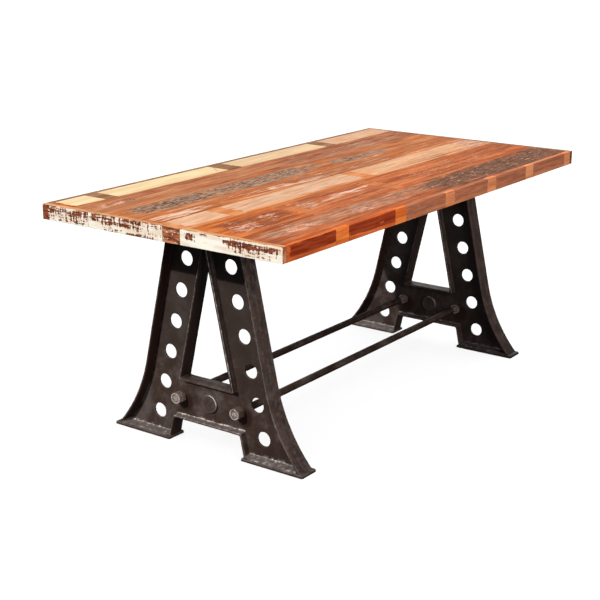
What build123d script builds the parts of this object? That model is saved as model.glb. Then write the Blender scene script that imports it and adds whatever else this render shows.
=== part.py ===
from build123d import *
import os
from math import radians, sqrt, tan

os.makedirs("parts", exist_ok=True)

# A dining table: a top of reclaimed boards on two cast-iron A-frames, held upright by two tie rods.
# X runs along the table, Y across it from front to back, and Z up.
# The origin is on the floor, under the middle of the top.

# ---- Overall size, in millimetres ----
table_length = 1830
table_width = 900
table_height = 760

# ---- Tabletop ----
edge_depth = 48  # height of the edge boards, which make the top look thick
edge_thickness = 18
board_thickness = 22
bearer_width = 120  # the cross timbers that the iron frames are screwed to
batten_width = 70  # the lighter cross timbers between them
batten_count = 3

# ---- Boards of the field, row by row from the back to the front ----
# Each row has its width, and each piece its length. They add up to the field of a table of
# this size, and in a larger or smaller one each keeps its share.
field_rows = [
    (97, [("cream_board_1", 143), ("dark_block_1", 54), ("cream_board_2", 547),
          ("dark_block_2", 74), ("cream_board_3", 519), ("dark_block_3", 63),
          ("cream_board_4", 394)]),
    (130, [("rust_board", 1794)]),
    (115, [("grey_board_left", 914), ("grey_board_right", 880)]),
    (94, [("ochre_board", 1794)]),
    (118, [("pale_board_1", 200), ("amber_block_1", 54), ("pale_board_2", 658),
           ("amber_block_2", 56), ("pale_board_3", 826)]),
    (176, [("red_board_1", 351), ("amber_block_3", 54), ("red_board_2", 411),
           ("amber_block_4", 56), ("red_board_3", 922)]),
    (134, [("front_board", 1794)]),
]

# ---- Edge boards, with their lengths in the same way ----
# The end edges run the whole width. The front and back edges fit between them.
left_end_pieces = [("left_edge_board_1", 190), ("left_edge_board_2", 290),
                   ("left_edge_block", 64), ("left_edge_board_3", 356)]
right_end_pieces = [("right_edge_board_1", 356), ("right_edge_block", 62),
                    ("right_edge_board_2", 482)]
back_edge_pieces = [("back_edge_board_1", 640), ("back_edge_board_2", 520),
                    ("back_edge_board_3", 634)]
front_edge_pieces = [("front_edge_board_1", 235), ("front_edge_block_1", 66),
                     ("front_edge_board_2", 250), ("front_edge_block_2", 65),
                     ("front_edge_board_3", 238), ("front_edge_block_3", 62),
                     ("front_edge_board_4", 222), ("front_edge_block_4", 61),
                     ("front_edge_board_5", 225), ("front_edge_block_5", 60),
                     ("front_edge_board_6", 258), ("front_edge_block_6", 52)]

# ---- Cast-iron A-frame: an I-section bent into an A, with a crossbar and two splayed feet ----
frame_inset = 239  # from the end of the top to the middle of the web
frame_depth = 63  # width of the outer flange, along the table
inner_flange_depth = 50  # width of the flange round the window and inside the feet
web_thickness = 7
flange_thickness = 7  # at the rim, and thicker towards the web because of the draft
cap_half_width = 132.5  # of the frame where it meets the top
apex_drop = 62  # from the top of the frame down to the point of its window
leg_lean = 12.7  # degrees from upright
flare_height = 250  # below this the outer flange curves outwards
flare_reach = 78.5  # how far the curve takes the foot out beyond the straight line
crossbar_height = 74  # from the floor to its underside
crossbar_depth = 139
flange_draft = 1.5  # degrees, both ways from the parting line in the middle of the flange
pocket_draft = 5  # degrees, so that the pattern leaves the sand
machining_allowance = 3  # cast above the finished top, and machined off

# ---- Feet ----
sole_lip = 6  # how far the sole stands out in front of the foot and behind it
sole_end_lip = 4  # and at its two ends
sole_thickness = 9
sole_corner = 5  # cut off each corner
sole_chamfer = 3
ledge_back = 16  # height of the sloping ledge at the web
ledge_front = 10  # and at the rim

# ---- Round lightening holes down each leg ----
hole_diameter = 47.5
hole_count = 6
hole_top_margin = 116  # from the top of the frame to the first centre
hole_bottom_margin = 75  # from the floor to the last centre
hole_line_splay = 0.5  # degrees more than the leg leans, because the foot widens

# ---- Round boss in the middle of the crossbar ----
boss_diameter = 60
boss_height = 7
boss_chamfer = 2

# ---- Tie rods and their nuts ----
rod_diameter = 24
rod_spacing = 234  # between the two rods
rod_hole_clearance = 0.5  # round the rod in the web
rod_end_recess = 0.6  # the rod stops this far inside the face of its nut
thread_clearance = 0.05  # round the rod in a nut
nut_across_flats = 36
nut_length = 30
jam_nut_length = 12
nut_chamfer = 2

# ---- Lag screws that hold the frames to the bearers ----
screw_diameter = 8
screw_hole_clearance = 0.5  # in the iron
screw_pilot_clearance = 0.05  # in the wood
screw_tip_clearance = 1
screw_depth = 22  # in the wood
screw_offset = 17  # from the middle of the web
screw_head_across_flats = 13
screw_head_length = 5.5
screw_flat_length = 90  # milled flat under the cap, where the screw heads bear

# ---- Sizes that follow from those above ----
underside = table_height - edge_depth
field_length = table_length - 2 * edge_thickness
field_width = table_width - 2 * edge_thickness
bearer_thickness = edge_depth - board_thickness
frame_x = table_length / 2 - frame_inset
half_depth = frame_depth / 2
web_face = web_thickness / 2
pocket_depth = half_depth - web_face
apex_height = underside - apex_drop
crossbar_top = crossbar_height + crossbar_depth
rod_height = crossbar_height + crossbar_depth / 2
rod_length = 2 * (frame_x + web_face + nut_length - rod_end_recess)
screw_seat = underside - flange_thickness
lean_slope = tan(radians(leg_lean))
hole_slope = tan(radians(leg_lean + hole_line_splay))


def outer_line(height):
    """Half-width of the frame at a height, along the straight part of its side."""
    return cap_half_width + lean_slope * (underside - height)


def inner_line(height):
    """Distance from the middle of the frame to the inner side of a leg, at a height."""
    return lean_slope * (apex_height - height)


def leg_middle(height):
    """Distance from the middle of the frame to the middle of a leg, at a height."""
    return (outer_line(height) + inner_line(height)) / 2


foot_half_span = outer_line(0) + flare_reach
screw_y = leg_middle(screw_seat)
screw_places = [(x, y) for x in (-screw_offset, screw_offset) for y in (-screw_y, screw_y)]
rod_places = [(-rod_spacing / 2, rod_height), (rod_spacing / 2, rod_height)]


def save(part, name):
    """Names a finished piece and writes it."""
    part.label = name
    export_step(part, f"parts/{name}.step")


def share_out(pieces, whole):
    """Yields each piece with its start and its length, in proportion to the lengths given."""
    total = sum(length for piece, length in pieces)
    start = 0
    for piece, length in pieces:
        size = whole * length / total
        yield piece, start, size
        start += size


# ---- Boards of the top, all flush with each other ----
def make_board(name, x_low, y_low, x_size, y_size, thickness):
    """One board, given the corner where it starts, its size and its thickness."""
    with BuildPart() as board:
        with BuildSketch(Plane.XY.offset(table_height)):
            with Locations((x_low + x_size / 2, y_low + y_size / 2)):
                Rectangle(x_size, y_size)
        extrude(amount=-thickness)
    save(board.part, name)


row_widths = [(row_pieces, width) for width, row_pieces in field_rows]
for row_pieces, row_start, width in share_out(row_widths, field_width):
    y_low = field_width / 2 - row_start - width
    for name, start, length in share_out(row_pieces, field_length):
        make_board(name, start - field_length / 2, y_low, length, width, board_thickness)

for x_low, pieces in ((-table_length / 2, left_end_pieces), (field_length / 2, right_end_pieces)):
    for name, start, length in share_out(pieces, table_width):
        y_low = table_width / 2 - start - length
        make_board(name, x_low, y_low, edge_thickness, length, edge_depth)
for y_low, pieces in ((field_width / 2, back_edge_pieces), (-table_width / 2, front_edge_pieces)):
    for name, start, length in share_out(pieces, field_length):
        make_board(name, start - field_length / 2, y_low, length, edge_thickness, edge_depth)


# ---- Cross timbers under the field ----
def make_bearer(name, x_middle):
    """The cross timber over an iron frame, drilled for the frame's lag screws."""
    with BuildPart() as bearer:
        with BuildSketch(Plane.XY.offset(underside)):
            with Locations((x_middle, 0)):
                Rectangle(bearer_width, field_width)
        extrude(amount=bearer_thickness)
        with BuildSketch(Plane.XY.offset(underside)):
            with Locations(*[(x_middle + x, y) for x, y in screw_places]):
                Circle(screw_diameter / 2 + screw_pilot_clearance)
        extrude(amount=screw_depth + screw_tip_clearance, mode=Mode.SUBTRACT)
    save(bearer.part, name)


make_bearer("left_bearer", -frame_x)
make_bearer("right_bearer", frame_x)

batten_pitch = 2 * frame_x / (batten_count + 1)
for number in range(1, batten_count + 1):
    with BuildPart() as batten:
        with BuildSketch(Plane.XY.offset(underside)):
            with Locations((number * batten_pitch - frame_x, 0)):
                Rectangle(batten_width, field_width)
        extrude(amount=bearer_thickness)
    save(batten.part, f"cross_batten_{number}")


# ---- Cast-iron A-frame ----
def make_outline(cap_height, gap=True):
    """The outline of the frame without its window, up to a height, with the gap under it or not."""
    with BuildSketch() as outline:
        with BuildLine():
            cap = Line((0, cap_height), (outer_line(cap_height), cap_height))
            side = Line(cap @ 1, (outer_line(flare_height), flare_height))
            flare = TangentArc(side @ 1, (foot_half_span, 0), tangent=side % 1)
            if gap:
                sole = Line(flare @ 1, (inner_line(0), 0))
                inside = Line(sole @ 1, (inner_line(crossbar_height), crossbar_height))
                under_bar = Line(inside @ 1, (0, crossbar_height))
                Line(under_bar @ 1, cap @ 0)
            else:
                floor = Line(flare @ 1, (0, 0))
                Line(floor @ 1, cap @ 0)
        make_face()
        mirror(about=Plane.YZ)
    return outline.sketch


cast_outline = make_outline(underside + machining_allowance)
finished_outline = make_outline(underside)
outer_outline = make_outline(underside, gap=False)

# The window between the legs, above the crossbar.
with BuildSketch() as window:
    with BuildLine():
        window_half = inner_line(crossbar_top)
        Polyline((-window_half, crossbar_top), (window_half, crossbar_top), (0, apex_height),
                 close=True)
    make_face()

# The sloping ledge inside each foot: a wedge trimmed to the frame's own outline.
with BuildPart() as ledge:
    with BuildSketch(Plane.XZ):
        with BuildLine():
            Polyline((0, 0), (half_depth, 0), (half_depth, ledge_front), (web_face, ledge_back),
                     (0, ledge_back), close=True)
        make_face()
    extrude(amount=foot_half_span, both=True)
    with BuildSketch(Plane.YZ):
        offset(finished_outline, amount=-flange_thickness / 2, kind=Kind.INTERSECTION)
    extrude(amount=half_depth, mode=Mode.INTERSECT)

# The boss in the middle of the crossbar.
with BuildPart() as boss:
    with BuildSketch(Plane.YZ):
        with Locations((0, rod_height)):
            Circle(boss_diameter / 2)
    extrude(amount=web_face + boss_height)
    chamfer(boss.edges().group_by(Axis.X)[-1], boss_chamfer)

# The soles: flat plates with a lip standing out all round each foot.
sole_inner = inner_line(0) - sole_end_lip
sole_outer = foot_half_span + sole_end_lip
sole_middle = (sole_inner + sole_outer) / 2
with BuildPart() as soles:
    with BuildSketch() as sole_plan:
        with Locations((0, sole_middle), (0, -sole_middle)):
            Rectangle(frame_depth + 2 * sole_lip, sole_outer - sole_inner)
        chamfer(sole_plan.vertices(), sole_corner)
    extrude(amount=sole_thickness)
    chamfer(soles.faces().filter_by(Plane.XY).group_by(Axis.Z)[-1].edges(), sole_chamfer)

# The lightening holes, down a line that starts in the middle of the leg.
first_hole = underside - hole_top_margin
hole_pitch = (first_hole - hole_bottom_margin) / (hole_count - 1)
hole_places = []
for number in range(hole_count):
    drop = number * hole_pitch
    hole_y = leg_middle(first_hole) + hole_slope * drop
    hole_places += [(-hole_y, first_hole - drop), (hole_y, first_hole - drop)]

with BuildPart() as frame:
    # One half of the casting, from the parting line to the rim, hollowed down to the web.
    with BuildSketch(Plane.YZ):
        add(cast_outline)
    extrude(amount=half_depth, taper=flange_draft)
    with BuildSketch(Plane.YZ):
        add(window.sketch)
    extrude(amount=half_depth, taper=-flange_draft, mode=Mode.SUBTRACT)
    with BuildSketch(Plane.YZ.offset(half_depth)):
        offset(finished_outline, amount=-flange_thickness, kind=Kind.INTERSECTION)
        offset(window.sketch, amount=flange_thickness, kind=Kind.INTERSECTION, mode=Mode.SUBTRACT)
    extrude(amount=-pocket_depth, taper=pocket_draft, mode=Mode.SUBTRACT)
    # The inner flanges stop short of the rim of the outer one.
    with BuildSketch(Plane.YZ.offset(half_depth)):
        offset(outer_outline, amount=-flange_thickness, kind=Kind.INTERSECTION)
    extrude(amount=inner_flange_depth / 2 - half_depth, taper=pocket_draft, mode=Mode.SUBTRACT)
    add(ledge.part)
    add(boss.part)
    # The other half is its mirror image, and the soles run under both.
    mirror(about=Plane.YZ)
    add(soles.part)
    # The casting stands a little tall, and its top is machined flat for the bearer.
    split(bisect_by=Plane.XY.offset(underside), keep=Keep.BOTTOM)
    # Lightening holes, and the bores for the tie rods.
    with BuildSketch(Plane.YZ):
        with Locations(*hole_places):
            Circle(hole_diameter / 2)
        with Locations(*rod_places):
            Circle(rod_diameter / 2 + rod_hole_clearance)
    extrude(amount=half_depth, both=True, mode=Mode.SUBTRACT)
    # Lag screw holes through the cap, and flats milled under it for the screw heads.
    with BuildSketch(Plane.XY.offset(underside)):
        with Locations(*screw_places):
            Circle(screw_diameter / 2 + screw_hole_clearance)
    extrude(amount=-edge_depth, mode=Mode.SUBTRACT)
    flat_x = web_face + pocket_depth / 2
    with BuildSketch(Plane.XY.offset(screw_seat)):
        with Locations(*[(x, y) for x in (-flat_x, flat_x) for y in (-screw_y, screw_y)]):
            Rectangle(pocket_depth, screw_flat_length)
    extrude(amount=-flange_thickness, mode=Mode.SUBTRACT)

save(Pos(-frame_x, 0, 0) * frame.part, "left_leg_frame")
save(Pos(frame_x, 0, 0) * frame.part, "right_leg_frame")


# ---- Tie rods ----
for name, rod_place in zip(("front_tie_rod", "back_tie_rod"), rod_places):
    with BuildPart() as rod:
        with BuildSketch(Plane.YZ.offset(-rod_length / 2)):
            with Locations(rod_place):
                Circle(rod_diameter / 2)
        extrude(amount=rod_length)
    save(rod.part, name)


# ---- Nuts on the rods, one on each side of each web ----
def make_nut(length):
    """A hexagonal nut bored for the rod, standing on the YZ plane, its outer end chamfered."""
    with BuildPart() as nut:
        with BuildSketch(Plane.YZ):
            Circle(nut_across_flats / sqrt(3))
        extrude(amount=length)
        chamfer(nut.edges().group_by(Axis.X)[-1], nut_chamfer)
        with BuildSketch(Plane.YZ):
            RegularPolygon(nut_across_flats / 2, 6, major_radius=False, rotation=30)
        extrude(amount=length, mode=Mode.INTERSECT)
        with BuildSketch(Plane.YZ):
            Circle(rod_diameter / 2 + thread_clearance)
        extrude(amount=length, mode=Mode.SUBTRACT)
    return nut.part


nut_rows = (("tie_rod_end_nuts", nut_length, 1), ("tie_rod_jam_nuts", jam_nut_length, -1))
for name, length, outward in nut_rows:
    seat = frame_x + outward * web_face
    right_turn = 0 if outward > 0 else 180
    with BuildPart() as nuts:
        for y, z in rod_places:
            with Locations(Location((seat, y, z), (0, 0, right_turn)),
                           Location((-seat, y, z), (0, 0, 180 - right_turn))):
                add(make_nut(length))
    save(nuts.part, name)


# ---- Lag screws, up through the cap of each frame into its bearer ----
with BuildPart() as lag_screw:
    with BuildSketch(Plane.XY.offset(screw_seat)):
        RegularPolygon(screw_head_across_flats / 2, 6, major_radius=False)
    extrude(amount=-screw_head_length)
    with BuildSketch(Plane.XY.offset(screw_seat)):
        Circle(screw_diameter / 2)
    extrude(amount=flange_thickness + screw_depth)

with BuildPart() as lag_screws:
    for x_middle in (-frame_x, frame_x):
        with Locations(*[(x_middle + x, y) for x, y in screw_places]):
            add(lag_screw.part)
save(lag_screws.part, "frame_lag_screws")
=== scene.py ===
# %% [markdown]
# # A table of reclaimed boards on two cast-iron A-frames
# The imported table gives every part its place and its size. This lesson dresses it: each board
# gets its worn edges and its old paint, and each casting its draft, its fillets and its wear.
# We work in metres. X runs along the table, Y across it from front to back, and Z up.

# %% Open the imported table
import math
import bpy
import bmesh
import mathutils
import numpy as np
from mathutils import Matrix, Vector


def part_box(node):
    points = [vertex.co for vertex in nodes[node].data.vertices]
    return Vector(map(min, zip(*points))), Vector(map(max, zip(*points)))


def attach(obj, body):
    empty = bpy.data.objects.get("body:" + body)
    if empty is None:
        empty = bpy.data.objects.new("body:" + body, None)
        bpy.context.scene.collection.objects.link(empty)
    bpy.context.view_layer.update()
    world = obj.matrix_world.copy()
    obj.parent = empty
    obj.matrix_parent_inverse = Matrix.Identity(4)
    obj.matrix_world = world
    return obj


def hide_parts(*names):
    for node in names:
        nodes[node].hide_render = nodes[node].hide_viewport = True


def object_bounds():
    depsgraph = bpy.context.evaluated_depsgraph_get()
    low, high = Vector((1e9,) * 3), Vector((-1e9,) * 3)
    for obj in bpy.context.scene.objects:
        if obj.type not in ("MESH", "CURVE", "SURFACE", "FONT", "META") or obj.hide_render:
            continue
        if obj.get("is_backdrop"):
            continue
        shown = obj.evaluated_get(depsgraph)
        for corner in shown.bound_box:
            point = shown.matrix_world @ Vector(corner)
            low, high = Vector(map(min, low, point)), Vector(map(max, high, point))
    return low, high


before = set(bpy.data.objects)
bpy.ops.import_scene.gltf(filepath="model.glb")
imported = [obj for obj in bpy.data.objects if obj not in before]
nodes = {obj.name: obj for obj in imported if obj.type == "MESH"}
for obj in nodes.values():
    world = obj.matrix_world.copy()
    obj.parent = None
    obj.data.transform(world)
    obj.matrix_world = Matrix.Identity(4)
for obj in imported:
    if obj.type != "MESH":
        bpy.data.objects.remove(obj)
packed_low, packed_high = [list(corner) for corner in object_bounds()]
print("parts in the pack:", len(nodes))
print("lowest and highest corner:", packed_low, packed_high)

# %% [markdown]
# ## The camera
# A long lens from a few metres away keeps the table's edges almost parallel.
# The direction is built from an azimuth round the table, a height above the horizon and a small
# roll, which are the three turns of a tripod head.

# %% Set the camera
azimuth = math.radians(-54.543)
elevation = math.radians(16.525)
roll = math.radians(0.311)
forward = mathutils.Vector((-math.sin(azimuth) * math.cos(elevation),
                            math.cos(azimuth) * math.cos(elevation),
                            -math.sin(elevation)))
level = mathutils.Vector((math.cos(azimuth), math.sin(azimuth), 0.0))
upright = level.cross(forward)
right = level * math.cos(roll) + upright * math.sin(roll)
up = upright * math.cos(roll) - level * math.sin(roll)
camera = bpy.data.objects.new("camera", bpy.data.cameras.new("camera"))
bpy.context.scene.collection.objects.link(camera)
camera.data.lens = 77.67
camera.data.sensor_width = 36.0
turn = mathutils.Matrix((right, up, -forward)).transposed()
camera.matrix_world = mathutils.Matrix.Translation((-3.5813, -2.4062, 1.5962)) @ turn.to_4x4()
bpy.context.scene.camera = camera
print("lens in millimetres:", camera.data.lens)

# %% [markdown]
# ## The studio
# A pale floor that runs out to the horizon stands in for a white backdrop. A low sun-like key
# comes from the left, a third of a right angle up, so that the top throws its shadow across the
# near frame. Two soft panels and a pale room with a dark underside open the shadows. The key
# would also throw hard shadows on the floor, so it lights the table alone. The floor gets an
# even wash of its own, and throws no light back up.

# %% Lay the floor and hang the lamps
bpy.context.scene.view_settings.view_transform = "Standard"


def tone(red, green, blue, light=1.0):
    """A colour from its three values out of 255, as a painter's chart gives them, made linear:
    each value over 255, plus 0.055, over 1.055, to the power of 2.4, times the light."""
    steps = (np.array([red, green, blue]) / 255 + 0.055) / 1.055
    return (*(steps ** 2.4 * light), 1.0)


def make_lamp(name, kind, place, aim, power, colour, **shape):
    """A lamp at a place, facing a point."""
    lamp = bpy.data.objects.new(name, bpy.data.lights.new(name, kind))
    bpy.context.scene.collection.objects.link(lamp)
    lamp.data.energy = power
    lamp.data.color = colour
    for option, value in shape.items():
        setattr(lamp.data, option, value)
    lamp.location = place
    lamp.rotation_euler = (mathutils.Vector(aim) - lamp.location).to_track_quat("-Z", "Y").to_euler()
    return lamp


key = make_lamp("key", "SUN", (-6.0, 2.1, 4.18), (0.0, 0.0, 0.0), 4.3, (1.0, 0.98, 0.95),
                angle=math.radians(1.1))
front_panel = make_lamp("front_panel", "AREA", (-1.6, -5.2, 2.0), (0.0, 0.0, 0.5), 200,
                        (1.0, 0.97, 0.94), size=2.2)
back_panel = make_lamp("back_panel", "AREA", (5.2, 2.2, 3.6), (1.6, -0.4, 0.0), 95,
                       (1.0, 0.99, 0.97), size=3.0)
wash = make_lamp("floor_wash", "SUN", (0.0, 0.0, 6.0), (0.0, 0.0, 0.0), 2.95, (1.0, 1.0, 1.0),
                 use_shadow=False)

room = bpy.data.worlds.new("room")
room.use_nodes = True
sky = room.node_tree.nodes.new("ShaderNodeTexCoord").outputs["Generated"]
split = room.node_tree.nodes.new("ShaderNodeSeparateXYZ")
shade = room.node_tree.nodes.new("ShaderNodeMapRange")
background = room.node_tree.nodes["Background"]
for start, end in ((sky, split.inputs[0]), (split.outputs["Z"], shade.inputs["Value"]),
                   (shade.outputs["Result"], background.inputs["Strength"])):
    room.node_tree.links.new(start, end)
for socket, value in (("From Min", -0.15), ("From Max", 0.15), ("To Min", 0.16), ("To Max", 0.45)):
    shade.inputs[socket].default_value = value
background.inputs["Color"].default_value = (0.96, 0.98, 1.0, 1.0)
bpy.context.scene.world = room

floor_mesh = bpy.data.meshes.new("floor")
floor_mesh.from_pydata([(-60, -60, 0), (60, -60, 0), (60, 60, 0), (-60, 60, 0)], [], [(0, 1, 2, 3)])
floor = bpy.data.objects.new("floor", floor_mesh)
bpy.context.scene.collection.objects.link(floor)
floor.visible_diffuse = False
floor.visible_glossy = False
floor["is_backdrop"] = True
for lamp in (key, front_panel, back_panel, wash):
    reach = bpy.data.collections.new(lamp.name + "_reach")
    reach.objects.link(floor)
    lamp.light_linking.receiver_collection = reach
    reach.collection_objects[0].light_linking.link_state = "INCLUDE" if lamp == wash else "EXCLUDE"
print("lamps:", [thing.name for thing in bpy.data.lights])

# %% [markdown]
# ## A small language for finishes
# Every finish below is written with the same few words. A recipe holds one material, and each
# word adds one node and hands back its output, so a finish reads from the grain up to the gloss.
# The patterns read Object coordinates. The parts all share the table's own frame, so a pattern
# stays where it is on the table and keeps its size in metres.

# %% Write the words of a recipe


class Recipe:
    """A material being written. Every method adds a node and returns what it gives out."""

    def __init__(self, name):
        self.material = bpy.data.materials.new(name)
        self.material.use_nodes = True
        self.tree = self.material.node_tree
        self.tree.nodes.clear()

    def feed(self, socket, value):
        """Links an output to a socket, or sets the socket's own value."""
        if isinstance(value, bpy.types.NodeSocket):
            self.tree.links.new(value, socket)
        else:
            socket.default_value = value

    def node(self, kind, feeds, **options):
        """A node of a kind, with its options set and its sockets fed by name or by number."""
        made = self.tree.nodes.new("ShaderNode" + kind)
        for option, value in options.items():
            setattr(made, option, value)
        for socket, value in feeds.items():
            self.feed(made.inputs[socket], value)
        return made

    def place(self, scale, shift=(0.0, 0.0, 0.0), turn=(0.0, 0.0, 0.0)):
        """Where we are on the table, stretched by a scale along X, Y and Z."""
        here = self.node("TexCoord", {}).outputs["Object"]
        feeds = {"Vector": here, "Scale": scale, "Location": shift, "Rotation": turn}
        return self.node("Mapping", feeds).outputs["Vector"]

    def noise(self, place, scale=1.0, detail=3.0, roughness=0.55, distortion=0.0):
        """Cloudy noise, from 0 to 1 and mostly near the middle."""
        feeds = {"Vector": place, "Scale": scale, "Detail": detail, "Roughness": roughness,
                 "Distortion": distortion}
        return self.node("TexNoise", feeds).outputs["Fac"]

    def cells(self, place, scale=1.0, feature="F1"):
        """Distance to the nearest of many scattered points."""
        feeds = {"Vector": place, "Scale": scale}
        return self.node("TexVoronoi", feeds, feature=feature).outputs["Distance"]

    def maths(self, operation, first, second=0.0, third=0.0):
        """One sum on numbers."""
        feeds = {0: first, 1: second, 2: third}
        return self.node("Math", feeds, operation=operation).outputs[0]

    def step(self, value, low, high, start=0.0, end=1.0):
        """Goes smoothly from start to end while a value goes from low to high."""
        feeds = {"Value": value, "From Min": low, "From Max": high, "To Min": start, "To Max": end}
        return self.node("MapRange", feeds, interpolation_type="SMOOTHSTEP").outputs["Result"]

    def ramp(self, value, *stops):
        """Colours along a scale: each stop is a position and a colour."""
        made = self.node("ValToRGB", {"Fac": value})
        band = made.color_ramp
        while len(band.elements) < len(stops):
            band.elements.new(0.5)
        for element, (position, colour) in zip(band.elements, stops):
            element.position = position
            element.color = colour
        return made.outputs["Color"]

    def mix(self, share, first, second, blend="MIX"):
        """Lays the second colour over the first by a share."""
        feeds = {"Fac": share, "Color1": first, "Color2": second}
        return self.node("MixRGB", feeds, blend_type=blend).outputs["Color"]

    def painted(self, name):
        """A number that was laid on the surface itself, point by point."""
        return self.node("Attribute", {}, attribute_name=name).outputs["Fac"]

    def finish(self, colour, roughness, height, depth, **more):
        """Ends the recipe: colour, gloss and a relief that is so many metres deep."""
        bump = self.node("Bump", {"Height": height, "Distance": depth, "Strength": 1.0})
        feeds = {"Base Color": colour, "Roughness": roughness, "Normal": bump.outputs["Normal"]}
        feeds.update({name.replace("_", " "): value for name, value in more.items()})
        shader = self.node("BsdfPrincipled", feeds)
        self.node("OutputMaterial", {"Surface": shader.outputs["BSDF"]})
        return self.material


floor_recipe = Recipe("pale_floor")
floor_grain = floor_recipe.noise(floor_recipe.place((3.0, 3.0, 3.0)))
floor_pale, floor_paler = (0.862, 0.862, 0.862, 1.0), (0.872, 0.872, 0.872, 1.0)
floor_tone = floor_recipe.ramp(floor_grain, (0.3, floor_pale), (0.7, floor_paler))
floor_mesh.materials.append(floor_recipe.finish(floor_tone, 0.9, floor_grain, 0.0005))
print("first finish:", floor_recipe.material.name)

# %% [markdown]
# ## Turning arrays into pieces
# Every new piece is worked out with numpy first: whole arrays of points, and whole arrays of
# faces between them.

# %% Make a piece from arrays


def waves(seed, low, high, *where):
    """Gentle unevenness between -1 and 1: the mean of seven sines, with seeded directions and
    phases, and wavelengths from low to high in metres."""
    draw = np.random.default_rng(seed)
    total = 0.0
    for _ in range(7):
        length = draw.uniform(low, high)
        heading = draw.normal(size=len(where))
        heading /= np.linalg.norm(heading)
        phase = draw.uniform(0.0, 2 * math.pi)
        total = total + np.sin(2 * math.pi * sum(h * w for h, w in zip(heading, where)) / length + phase)
    return total / 7


def grid_faces(rows, columns, wrap=False):
    """The quads of a grid of points that is stored row by row, closed round its rows if asked."""
    row, column = np.meshgrid(np.arange(rows - 1), np.arange(columns if wrap else columns - 1),
                              indexing="ij")
    ahead = (column + 1) % columns
    quads = [row * columns + column, row * columns + ahead, (row + 1) * columns + ahead,
             (row + 1) * columns + column]
    return np.stack(quads, axis=-1).reshape(-1, 4)


def make_piece(name, points, faces, layers, stands_for, weld=2e-5):
    """A named piece from points, faces and the numbers laid on its points, seams welded."""
    mesh = bpy.data.meshes.new(name)
    mesh.from_pydata(np.asarray(points).tolist(), [], [list(face) for face in faces])
    for layer, values in layers.items():
        attribute = mesh.attributes.new(layer, "FLOAT", "POINT")
        attribute.data.foreach_set("value", np.asarray(values, dtype=np.float32))
    shape = bmesh.new()
    shape.from_mesh(mesh)
    bmesh.ops.remove_doubles(shape, verts=shape.verts, dist=weld)
    bmesh.ops.recalc_face_normals(shape, faces=shape.faces)
    open_edges = sum(1 for edge in shape.edges if len(edge.link_faces) != 2)
    shape.to_mesh(mesh)
    shape.free()
    mesh.polygons.foreach_set("use_smooth", np.ones(len(mesh.polygons), dtype=bool))
    piece = bpy.data.objects.new(name, mesh)
    bpy.context.scene.collection.objects.link(piece)
    piece.modifiers.new("flats_stay_flat", "WEIGHTED_NORMAL").keep_sharp = True
    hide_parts(*stands_for)
    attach(piece, "root")
    if open_edges:
        print("open edges in", name, open_edges)
    return piece


print("seeded waves repeat:", float(waves(1, 0.1, 0.2, 0.3)) == float(waves(1, 0.1, 0.2, 0.3)))

# %% [markdown]
# ## One board
# A board is a rounded rectangle carried along its grain. A hand plane and forty years of use
# never leave the same corner twice, so the radius of each corner drifts along the board. The
# face gets a point every few millimetres, because old paint is laid on it point by point.

# %% Shape a board


def spaced(length, margin, pitch):
    """Positions along a side: one close to each end, and the rest about a pitch apart."""
    count = max(1, round((length - 2 * margin) / pitch))
    return np.linspace(margin, length - margin, count + 1)


def board_surface(low, high, along, arris, seed):
    """Carries a rounded rectangle along a board. Point (i, j) is station i along the grain and
    point j round the section, in the order far side, underside, near side, top. Each corner's
    radius is the arris times 1 plus half a wave that drifts with the station."""
    low, high = np.array(low), np.array(high)
    across = 1 - along
    length = high[along] - low[along]
    worn = np.array([0, 0.3, 1]) * arris
    stations = np.concatenate([worn, spaced(length, 0.003, 0.008), length - worn[::-1]])
    inset = np.zeros(len(stations))
    inset[[0, 1, -2, -1]] = [arris, arris * 0.3, arris * 0.3, arris]
    half = np.array([high[across] - low[across], high[2] - low[2]]) / 2
    middle = np.array([high[across] + low[across], high[2] + low[2]]) / 2
    signs = np.array([(1, 1), (1, -1), (-1, -1), (-1, 1)])
    turns = np.radians([[90, 60, 30, 0], [0, -30, -60, -90], [-90, -120, -150, -180],
                        [180, 150, 120, 90]])
    drift = np.stack([waves(seed + k, 0.03, 0.22, stations) for k in range(4)], axis=1)
    radius = arris * (1 + 0.5 * drift)
    centre = middle + signs[None] * (half - inset[:, None, None] - radius[..., None])
    ring = np.stack([np.cos(turns), np.sin(turns)], axis=-1)
    corners = centre[:, :, None, :] + radius[:, :, None, None] * ring[None]
    section = []
    pitches = (half[1], 0.006), (half[0], 0.03), (half[1], 0.006), (half[0], 0.007)
    for k, (width, pitch) in enumerate(pitches):
        start, end = corners[:, k, -1], corners[:, (k + 1) % 4, 0]
        share = spaced(2 * width, 0.003, pitch) / (2 * width)
        section += [corners[:, k], start[:, None] + (end - start)[:, None] * share[None, :, None]]
    section = np.concatenate(section, axis=1)
    points = np.zeros((*section.shape[:2], 3))
    points[..., along] = (low[along] + stations)[:, None]
    points[..., across] = section[..., 0]
    points[..., 2] = section[..., 1]
    return points


def coverage(grain, rise, patches):
    """How much of a coat lies at each point, from 0 to 1. A patch is a soft-edged box: its start
    and end along the grain and across it, the width of its fade, and its strength. The fade is
    a third as wide across the grain. Each patch lies over the ones before it."""
    total = np.zeros(len(grain))
    for start, end, bottom, top, fade, strength in patches:
        lengthwise = np.clip(np.minimum(grain - start, end - grain) / fade + 0.5, 0, 1)
        crosswise = np.clip(np.minimum(rise - bottom, top - rise) / (fade / 3) + 0.5, 0, 1)
        total = total + (strength - total) * lengthwise * crosswise
    return total


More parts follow.
